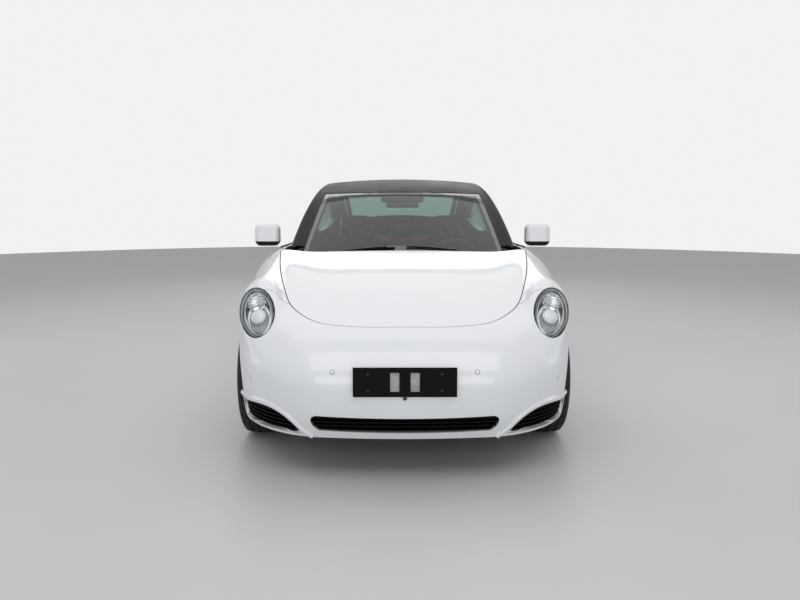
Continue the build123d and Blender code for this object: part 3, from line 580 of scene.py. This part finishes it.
def projector():
    """The round bright lens low in the headlamp."""
    alone()
    bpy.ops.mesh.primitive_uv_sphere_add(segments=40, ring_count=20, radius=1, location=(0, 0, 0))
    piece = bpy.context.object
    piece.scale = (0.041, 0.041, 0.022)
    bpy.ops.object.transform_apply(location=False, rotation=False, scale=True)
    piece.matrix_world = lamp_place() @ Matrix.Translation((0.004, -0.012, -0.026))
    return settle(piece, "headlamp_projector_left", projector_glass, "body", angle=60)


projector_glass = finish("projector_glass", (0.86, 0.87, 0.88), 0.05, coat=1.0, tone=0.05,
        tone_scale=60.0)
bright_bowl = finish("bright_reflector", **{**ALLOY, "colour": (0.86, 0.87, 0.88), "rough": 0.16})


def headlamp():
    """All that shows behind the cover of a headlamp, and the cover."""
    place = lamp_place()
    made = [lamp_dome(), projector()]
    made.append(lamp_bowl("headlamp_bowl_left", (0.002, -0.022, -0.030), (0.058, 0.088), 0.030,
            bright_bowl))
    made.append(lamp_bowl("headlamp_upper_bowl_left", (0.0, 0.082, -0.034), (0.046, 0.048), 0.020,
            bright_bowl))
    ring = line("headlamp_gasket_left", through(oval(0.0885, 0.1505, depth=-0.004), place), 0.0035,
            black_trim, "body", cyclic=True)
    guide = line("headlamp_light_guide_left", through(oval(0.070, 0.128, depth=-0.020), place),
            0.0045, bright_bowl, "body", cyclic=True)
    rim = [(x + 0.004, y - 0.012, z) for x, y, z in oval(0.040, 0.040, depth=-0.024)]
    collar = line("headlamp_collar_left", through(rim, place), 0.0035, satin, "body",
            cyclic=True)
    made += [ring, guide, collar]
    for k in range(4):
        level = 0.060 + 0.014 * k
        half = 0.052 - 0.006 * k
        step = [(-half, level, -0.018), (-half / 2, level + 0.003, -0.014),
                (half / 2, level + 0.003, -0.014), (half, level, -0.018)]
        made.append(line(f"headlamp_step_{k + 1}_left", through(step, place), 0.0022, bright_bowl,
                "body"))
    for piece in made:
        mirrored(piece)


# ---------------------------------------------------------------- nose
def side_of(x):
    """The side of the car that x is on."""
    return "left" if x > 0 else "right"


def intake_trim():
    """Bright strip round the lower edge of the outer air intake."""
    outline = [
        (0.836, 0.322), (0.834, 0.270), (0.828, 0.232), (0.806, 0.214), (0.760, 0.222),
        (0.700, 0.232), (0.620, 0.236), (0.545, 0.229), (0.500, 0.235), (0.482, 0.247),
        (0.492, 0.262),
    ]
    points = []
    for x, z in outline:
        spot, _ = on_nose(x, z, "front_bumper", "bumper_grilles")
        if spot:
            points.append((x, min(spot.y, nose + 0.9), z))
    return points


def intake_brow():
    """White raised band over the outer intake, running down to the lip under the middle one."""
    points = []
    for x, z in (
        (0.850, 0.330), (0.800, 0.352), (0.740, 0.369), (0.680, 0.374), (0.620, 0.362),
        (0.560, 0.333), (0.515, 0.292), (0.478, 0.246), (0.440, 0.222),
    ):
        spot, _ = on_nose(x, z, "front_bumper", "bumper_grilles")
        if spot:
            points.append((x, min(spot.y, nose + 0.9) + 0.010, z))
    return points


def nose_details():
    """Parking sensors, nose camera and the slots and screws of the plate bracket, with grey painted
    shade behind and in the slots.
    """
    for x, z in ((0.337, 0.553), (0.765, 0.470)):
        spot, normal = on_nose(x, z)
        if spot:
            mirrored(disc(f"parking_sensor_{int(x * 1000)}_left", spot - normal * 0.0008, normal,
                    0.0095, 0.004, 0.001, white_plain, "body"))
            rim = disc(f"parking_sensor_seat_{int(x * 1000)}_left", spot - normal * 0.0014, normal,
                    0.0115, 0.0035, 0.0005, trim, "body")
            mirrored(rim)
    spot, normal = on_nose(0.0, 0.436)
    if spot:
        disc("nose_camera", spot, normal, 0.010, 0.012, 0.002, screen, "body")
    # The grey pads and bars in the plate slots are painted shade: they stand for the white bumper
    # seen through the slots in shade, coloured grey.
    for x in (-0.047, 0.047):
        slab(f"plate_slot_pad_{side_of(x)}", (x - 0.0215, nose + 0.0045, 0.4685),
                (x + 0.0215, nose + 0.0075, 0.5585), 0.001, slot_painted_shade_grey, "body")
        for k in range(5):
            z = 0.478 + 0.0175 * k
            slab(f"plate_slot_bar_{k + 1}_{side_of(x)}", (x - 0.0205, nose + 0.0025, z),
                    (x + 0.0205, nose + 0.0050, z + 0.006), 0.0006, slot_painted_shade_grey, "body")
    for x in (-0.17, 0.17):
        for z in (0.475, 0.553):
            disc(f"plate_screw_{side_of(x)}_{int(z * 1000)}", (x, nose + 0.0004, z), (0, -1, 0),
                    0.005, 0.0022, 0.0006, trim, "body", vertices=16)


# Grey painted shade for the plate slots: the white bumper behind them, in shade.
slot_painted_shade_grey = finish("slot_painted_shade_grey", (0.36, 0.37, 0.38), 0.4, tone=0.2, tone_scale=30.0)


# ---------------------------------------------------------------- foot and head of the windscreen
def cowl():
    """Black panel between the bonnet and the foot of the windscreen."""
    alone()
    bpy.ops.mesh.primitive_grid_add(x_subdivisions=48, y_subdivisions=8, size=1,
            location=(0, -1.165, 0))
    piece = bpy.context.object
    piece.scale = (1.44, 0.17, 1)
    bpy.ops.object.transform_apply(location=True, rotation=False, scale=True)
    for vertex in piece.data.vertices:
        x, y = vertex.co.x, vertex.co.y
        spot, _ = touch((x, y, 2.0), (0, 0, -1), "windscreen")
        glass = spot.z - 0.011 if spot else 1.02
        vertex.co.z = min(glass, 1.005 - 0.13 * x * x - 0.25 * max(0.0, -1.20 - y))
    applied(piece, "SOLIDIFY", thickness=0.004, offset=-1)
    return settle(piece, "cowl_panel", black_trim, "body")


def on_glass(x, y, lift):
    """A point above the windscreen by lift."""
    spot, normal = touch((x, y, 2.0), (0, 0, -1), "windscreen")
    return tuple(spot + normal * lift) if spot else (x, y, 1.0)


def wipers():
    """Blades and arms lying at the foot of the windscreen."""
    for side, start, end in (("left", 0.02, 0.60), ("right", -0.62, -0.10)):
        blade = [on_glass(start + (end - start) * k / 6,
                -1.178 + 0.11 * (start + (end - start) * k / 6) ** 2, 0.007) for k in range(7)]
        line(f"wiper_blade_{side}", blade, 0.005, black_trim, "body")
        root = on_glass(end - 0.02 if side == "left" else end + 0.05, -1.186, 0.005)
        mid = on_glass((start + end) / 2 + 0.1, -1.180, 0.016)
        line(f"wiper_arm_{side}", [root, mid, blade[3]], 0.006, black_trim, "body")


def camera_pod():
    """Camera housing and mirror at the head of the windscreen."""
    slab("windscreen_camera_pod", (-0.150, -0.452, 1.322), (0.150, -0.385, 1.388), 0.022,
            black_trim, "body")
    slab("inner_mirror", (-0.115, -0.372, 1.285), (0.115, -0.352, 1.340), 0.010, screen, "body")
    disc("inner_mirror_stalk", (0, -0.385, 1.330), (0, 1, 0), 0.012, 0.05, 0.003, black_trim,
            "body", vertices=20)


# ---------------------------------------------------------------- sides
def belt_line(y_start, y_end, door):
    """Points along the foot of a door window."""
    points = []
    for k in range(9):
        y = y_start + (y_end - y_start) * k / 8
        spot, _ = touch((1.2, y, 1.020), (-1, 0, 0), door)
        if spot:
            points.append((spot.x - 0.010, y, 1.036))
    return points


def handle(y, door):
    """Flush door handle following the door's skin."""
    points = []
    for k in range(7):
        spot, _ = touch((1.2, y + 0.03 * (k - 3), 0.845), (-1, 0, 0), door)
        points.append((spot.x - 0.001, y + 0.03 * (k - 3), 0.845))

    def flat(piece):
        middle = sum((v.co.x for v in piece.data.vertices)) / len(piece.data.vertices)
        for vertex in piece.data.vertices:
            vertex.co.z = 0.845 + (vertex.co.z - 0.845) * 1.4
            vertex.co.x = middle + (vertex.co.x - middle) * 0.55

    return line(f"{door.replace('_left', '')}_handle_left", points, 0.010, white_plain, door,
            flat=flat)


def side_details():
    """Handles and belt seals of the doors."""
    for door, y in (("door_front_left", 0.035), ("door_rear_left", 1.000)):
        mirrored(handle(y, door))
    for door, ys in (("door_front_left", (-0.86, 0.105)), ("door_rear_left", (0.150, 1.105))):
        points = belt_line(*ys, door)
        if len(points) > 3:
            mirrored(line(f"{door.replace('_left', '')}_belt_seal_left", points, 0.006, black_trim,
                    door))


def mirror_details():
    """Mirror glass on the back of each housing."""
    glass = slab("mirror_glass_left", (0.856, -0.5935, 1.044), (0.994, -0.5895, 1.164), 0.0018,
            mirror_face, "door_front_left")
    mirrored(glass)


# ---------------------------------------------------------------- tail
def on_tail(x, z, *names):
    """The first spot met going forwards from behind the tail."""
    return touch((x, tail + 0.5, z), (0, -1, 0), *names)


def tail_details():
    """Blank plate and its recess, sensors, reflectors and diffuser fins."""
    spot, _ = on_tail(0.0, 0.53, "rear_bumper")
    slab("rear_plate_recess", (-0.275, spot.y - 0.012, 0.455), (0.275, spot.y - 0.001, 0.605),
            0.008, black_trim, "body")
    slab("rear_plate_blank", (-0.260, spot.y - 0.004, 0.475), (0.260, spot.y + 0.0006, 0.585),
            0.0006, white_plain, "body")
    for x in (0.30, 0.72):
        spot, normal = on_tail(x, 0.44, "rear_bumper")
        if spot:
            mirrored(disc(f"rear_sensor_{int(x * 1000)}_left", spot - normal * 0.001, normal,
                    0.0095, 0.004, 0.001, white_plain, "body"))
    points = []
    for k in range(6):
        x = 0.60 + 0.034 * k
        spot, _ = on_tail(x, 0.37, "rear_bumper")
        points.append((x, spot.y - 0.002, 0.37))
    # The reflectors take the red lamp finish, so their faint glow is painted light.
    mirrored(line("rear_reflector_left", points, 0.008, red_lamp, "body"))
    for k, x in enumerate((0.08, 0.24, 0.40)):
        spot, _ = on_tail(x, 0.24, "rear_bumper")
        mirrored(slab(f"diffuser_fin_{k + 1}_left", (x - 0.006, spot.y - 0.15, 0.205),
                (x + 0.006, spot.y - 0.002, 0.285), 0.003, trim, "body"))


# ---------------------------------------------------------------- wheels
def wheel_details():
    """Centre caps and wheel bolts."""
    for end, x, y in AXLES:
        body = f"wheel_{end}_left"
        axle = Vector((x + 0.083, y, WHEEL_HEIGHT))
        mirrored(disc(f"wheel_{end}_cap_left", axle, (1, 0, 0), 0.031, 0.008, 0.003, trim, body,
                vertices=40))
        for k in range(5):
            turn = 2 * PI * k / 5 + 0.3
            spot = axle + Vector((0.002, 0.054 * math.cos(turn), 0.054 * math.sin(turn)))
            mirrored(disc(f"wheel_{end}_bolt_{k + 1}_left", spot, (1, 0, 0), 0.0095, 0.012, 0.002,
                    iron, body, vertices=6))


def tyre(name, x, y, body):
    """A road tyre: its section is spun round the axle, then slots are sunk into the tread's ribs."""
    section = [
        (-0.103, 0.2335), (-0.1065, 0.250), (-0.1150, 0.272), (-0.1170, 0.292),
        (-0.1160, 0.298), (-0.1168, 0.304), (-0.1145, 0.322), (-0.1030, 0.3375),
        (-0.0880, 0.3435), (-0.0670, 0.3458), (-0.0665, 0.3390), (-0.0575, 0.3390),
        (-0.0570, 0.3464), (-0.0280, 0.3470), (-0.0275, 0.3390), (-0.0185, 0.3390),
        (-0.0180, 0.3470), (0.0, 0.3470),
    ]
    section = section + [(-a, r) for a, r in reversed(section[:-1])]
    steps = 144
    hub = (x, y, WHEEL_HEIGHT)
    alone()
    bpy.ops.mesh.primitive_plane_add(size=1, location=(0, 0, 0))
    piece = bpy.context.object
    bpy.ops.object.mode_set(mode="EDIT")
    bpy.ops.mesh.select_all(action="SELECT")
    bpy.ops.mesh.merge(type="CENTER")
    bpy.ops.transform.translate(value=(x + section[0][0], y, WHEEL_HEIGHT + section[0][1]))
    for (start, inner), (end, outer) in zip(section, section[1:]):
        step = (end - start, 0, outer - inner)
        bpy.ops.mesh.extrude_region_move(TRANSFORM_OT_translate={"value": step})
    bpy.ops.mesh.select_all(action="SELECT")
    bpy.ops.mesh.spin(steps=steps, angle=2 * PI, center=hub, axis=(1, 0, 0))
    bpy.ops.mesh.select_all(action="SELECT")
    bpy.ops.mesh.remove_doubles(threshold=0.0001)
    bpy.ops.mesh.normals_make_consistent(inside=False)
    bpy.ops.mesh.select_all(action="DESELECT")
    bpy.ops.object.mode_set(mode="OBJECT")
    for face in piece.data.polygons:
        middle = face.center
        turn = math.atan2(middle.z - WHEEL_HEIGHT, middle.y - y) * steps / (2 * PI)
        out = math.hypot(middle.z - WHEEL_HEIGHT, middle.y - y)
        slot = int(turn + (middle.x - x) * 40 + 400) % 4 == 0
        face.select = out > 0.3395 and slot and abs(middle.x - x) > 0.03
    bpy.ops.object.mode_set(mode="EDIT")
    bpy.ops.mesh.extrude_region()
    bpy.ops.transform.resize(value=(1, 0.986, 0.986), center_override=hub)
    bpy.ops.object.mode_set(mode="OBJECT")
    settle(piece, name, rubber, body, angle=30)
    return piece


def tyres():
    """The four tyres, in place of the plain ones."""
    for end, x, y in AXLES:
        piece = tyre(f"tyre_tread_{end}_left", x, y, f"wheel_{end}_left")
        twin = mirrored(piece)
        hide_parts(f"tyre_{end}_left")
        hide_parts(f"tyre_{end}_right")


# ---------------------------------------------------------------- seats
def box_at(centre, size, turn=0.0, bevel=0.03):
    """A rounded block turned about X, in degrees."""
    alone()
    bpy.ops.mesh.primitive_cube_add(size=1, location=(0, 0, 0))
    piece = bpy.context.object
    piece.scale = size
    bpy.ops.object.transform_apply(location=False, rotation=False, scale=True)
    applied(piece, "BEVEL", width=bevel, segments=3)
    piece.rotation_euler = (math.radians(turn), 0, 0)
    piece.location = centre
    alone()
    piece.select_set(True)
    bpy.ops.object.transform_apply(location=True, rotation=True, scale=True)
    return piece


def swell(piece, limit):
    """Pumps the cover up a little with the cloth solver, no point moving more than limit."""
    start = [vertex.co.copy() for vertex in piece.data.vertices]
    cloth = piece.modifiers.new("Cloth", "CLOTH")
    cloth.settings.use_pressure = True
    cloth.settings.uniform_pressure_force = 4
    cloth.settings.effector_weights.gravity = 0
    cloth.settings.quality = 4
    cloth.point_cache.frame_start, cloth.point_cache.frame_end = 1, 20
    for step in range(1, 21):
        bpy.context.scene.frame_set(step)
    posed = piece.evaluated_get(bpy.context.evaluated_depsgraph_get())
    ends = [vertex.co.copy() for vertex in posed.data.vertices]
    piece.modifiers.remove(cloth)
    bpy.context.scene.frame_set(1)
    for vertex, old, new in zip(piece.data.vertices, start, ends):
        move = new - old
        vertex.co = old + (move * (limit / move.length) if move.length > limit else move)


def stitched(piece, seams, width=0.007, depth=0.006):
    """Sinks the sewn seams: seams are functions giving each point's distance from a seam."""
    normals = [vertex.normal.copy() for vertex in piece.data.vertices]
    for vertex, normal in zip(piece.data.vertices, normals):
        near = min(abs(seam(vertex.co)) for seam in seams)
        if near < width * 2:
            vertex.co -= normal * depth * math.exp(-((near / width) ** 2))


def pad(name, parts, limit, seams, material, voxel=0.008):
    """A stuffed cover made from rounded blocks fused into one skin."""
    blocks = [box_at(*part) for part in parts]
    alone()
    for block in blocks:
        block.select_set(True)
    bpy.context.view_layer.objects.active = blocks[0]
    if len(blocks) > 1:
        bpy.ops.object.join()
    piece = bpy.context.object
    applied(piece, "REMESH", mode="VOXEL", voxel_size=voxel)
    applied(piece, "SMOOTH", factor=0.5, iterations=4)
    swell(piece, limit)
    stitched(piece, seams)
    settle(piece, name, material, "body", angle=70)
    return piece


def front_seats():
    """Cushion, back, headrest, base and shell of each front seat."""
    x = 0.370

    def beside(p):
        return abs(p.x - x) - 0.150

    seat_parts = [((x, -0.105, 0.440), (0.34, 0.41, 0.10), 3)]
    back_parts = [((x, 0.235, 0.775), (0.34, 0.075, 0.60), -13)]
    for bolster in (x - 0.195, x + 0.195):
        seat_parts.append(((bolster, -0.10, 0.455), (0.075, 0.39, 0.12), 3))
        back_parts.append(((bolster, 0.205, 0.745), (0.075, 0.12, 0.50), -13))
    seat_seams = [beside, lambda p: p.y + 0.02, lambda p: p.y + 0.14]
    back_seams = [beside, lambda p: p.z - 0.70, lambda p: p.z - 0.86]
    cushion = pad("front_seat_cushion_left", seat_parts, 0.012, seat_seams, leather)
    back = pad("front_seat_back_left", back_parts, 0.012, back_seams, leather)
    head = pad("front_headrest_left", [((x, 0.354, 1.150), (0.235, 0.060, 0.130), -6)], 0.010,
            [lambda p: abs(p.x - x) - 0.09], dark_leather, voxel=0.006)
    made = [cushion, back, head]
    base = slab("front_seat_base_left", (x - 0.215, -0.27, 0.302), (x + 0.215, 0.23, 0.395), 0.02,
            trim, "body")
    shell = slab("front_seat_shell_left", (x - 0.20, 0.255, 0.50), (x + 0.20, 0.285, 1.03), 0.012,
            trim, "body", turn=(math.radians(-13), 0, 0))
    posts = [disc(f"front_headrest_post_{k}_left", (x + dx, 0.348, 1.075), (0, 0, 1), 0.007, 0.07,
            0.001, satin, "body", vertices=16) for k, dx in ((1, -0.05), (2, 0.05))]
    for piece in made:
        twin = mirrored(piece)
        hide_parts("front_seat_left")
        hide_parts("front_seat_right")
    for piece in (base, shell, *posts):
        mirrored(piece)


def rear_bench():
    """Cushion, back and headrests of the rear seat."""
    thirds = [lambda p: abs(p.x) - 0.20, lambda p: abs(p.x) - 0.42]
    cushion = pad("rear_seat_cushion", [((0, 0.810, 0.475), (1.19, 0.38, 0.115), 3)], 0.012,
            [*thirds, lambda p: p.y - 0.72], leather, voxel=0.010)
    back = pad("rear_seat_back", [((0, 1.085, 0.765), (1.19, 0.085, 0.47), -16)], 0.012,
            [*thirds, lambda p: p.z - 0.72], leather, voxel=0.010)
    made = [cushion, back]
    for k, x in enumerate((-0.35, 0.0, 0.35)):
        made.append(pad(f"rear_headrest_{k + 1}", [((x, 1.168, 1.050), (0.215, 0.045, 0.115), -5)],
                0.008, [lambda p, x=x: abs(p.x - x) - 0.08], dark_leather, voxel=0.006))
    for piece in made:
        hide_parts("rear_seat")
    slab("rear_seat_base", (-0.60, 0.640, 0.302), (0.60, 0.920, 0.425), 0.015, trim, "body")


# ---------------------------------------------------------------- dashboard and console
def dashboard():
    """Screens, vents, strips, console pieces and pedals."""
    slab("centre_screen", (-0.165, -0.752, 0.800), (0.165, -0.738, 0.945), 0.006, screen, "body",
            turn=(math.radians(-12), 0, 0))
    slab("driver_display", (0.235, -0.800, 0.925), (0.475, -0.788, 0.990), 0.006, screen, "body",
            turn=(math.radians(-15), 0, 0))
    slab("dash_trim_strip_left", (0.19, -0.7495, 0.838), (0.66, -0.738, 0.852), 0.003, satin,
            "body")
    slab("dash_trim_strip_right", (-0.66, -0.7495, 0.838), (-0.19, -0.738, 0.852), 0.003, satin,
            "body")
    for side, x in (("outer_left", 0.60), ("inner_left", 0.225), ("inner_right", -0.225),
            ("outer_right", -0.60)):
        slab(f"vent_frame_{side}", (x - 0.055, -0.757, 0.858), (x + 0.055, -0.738, 0.900), 0.006,
                black_trim, "body")
        for k in range(3):
            z = 0.866 + 0.010 * k
            slab(f"vent_vane_{side}_{k + 1}", (x - 0.046, -0.742, z),
                    (x + 0.046, -0.735, z + 0.004), 0.001, satin, "body")
    slab("console_armrest", (-0.085, -0.12, 0.560), (0.085, 0.175, 0.600), 0.016, dark_leather,
            "body")
    slab("console_tray", (-0.080, -0.66, 0.565), (0.080, -0.42, 0.579), 0.004, black_trim, "body")
    slab("gear_selector", (-0.020, -0.36, 0.570), (0.020, -0.28, 0.612), 0.009, satin, "body")
    for k, y in enumerate((-0.235, -0.165)):
        disc(f"cup_ring_{k + 1}", (0.0, y, 0.574), (0, 0, 1), 0.036, 0.008, 0.002, black_trim,
                "body")
    for name, x in (("brake_pedal", 0.30), ("drive_pedal", 0.42)):
        slab(name, (x - 0.035, -0.965, 0.395), (x + 0.035, -0.955, 0.455), 0.004, satin, "body",
                turn=(math.radians(25), 0, 0))


headlamp()
trim_points = intake_trim()
if len(trim_points) > 4:
    mirrored(line("intake_bright_trim_left", trim_points, 0.0050, satin, "body"))
brow_points = intake_brow()
if len(brow_points) > 4:
    mirrored(line("intake_brow_left", brow_points, 0.019, white_plain, "body"))
nose_details()
cowl()
wipers()
camera_pod()
side_details()
mirror_details()
tail_details()
wheel_details()
tyres()
front_seats()
rear_bench()
dashboard()

studio()
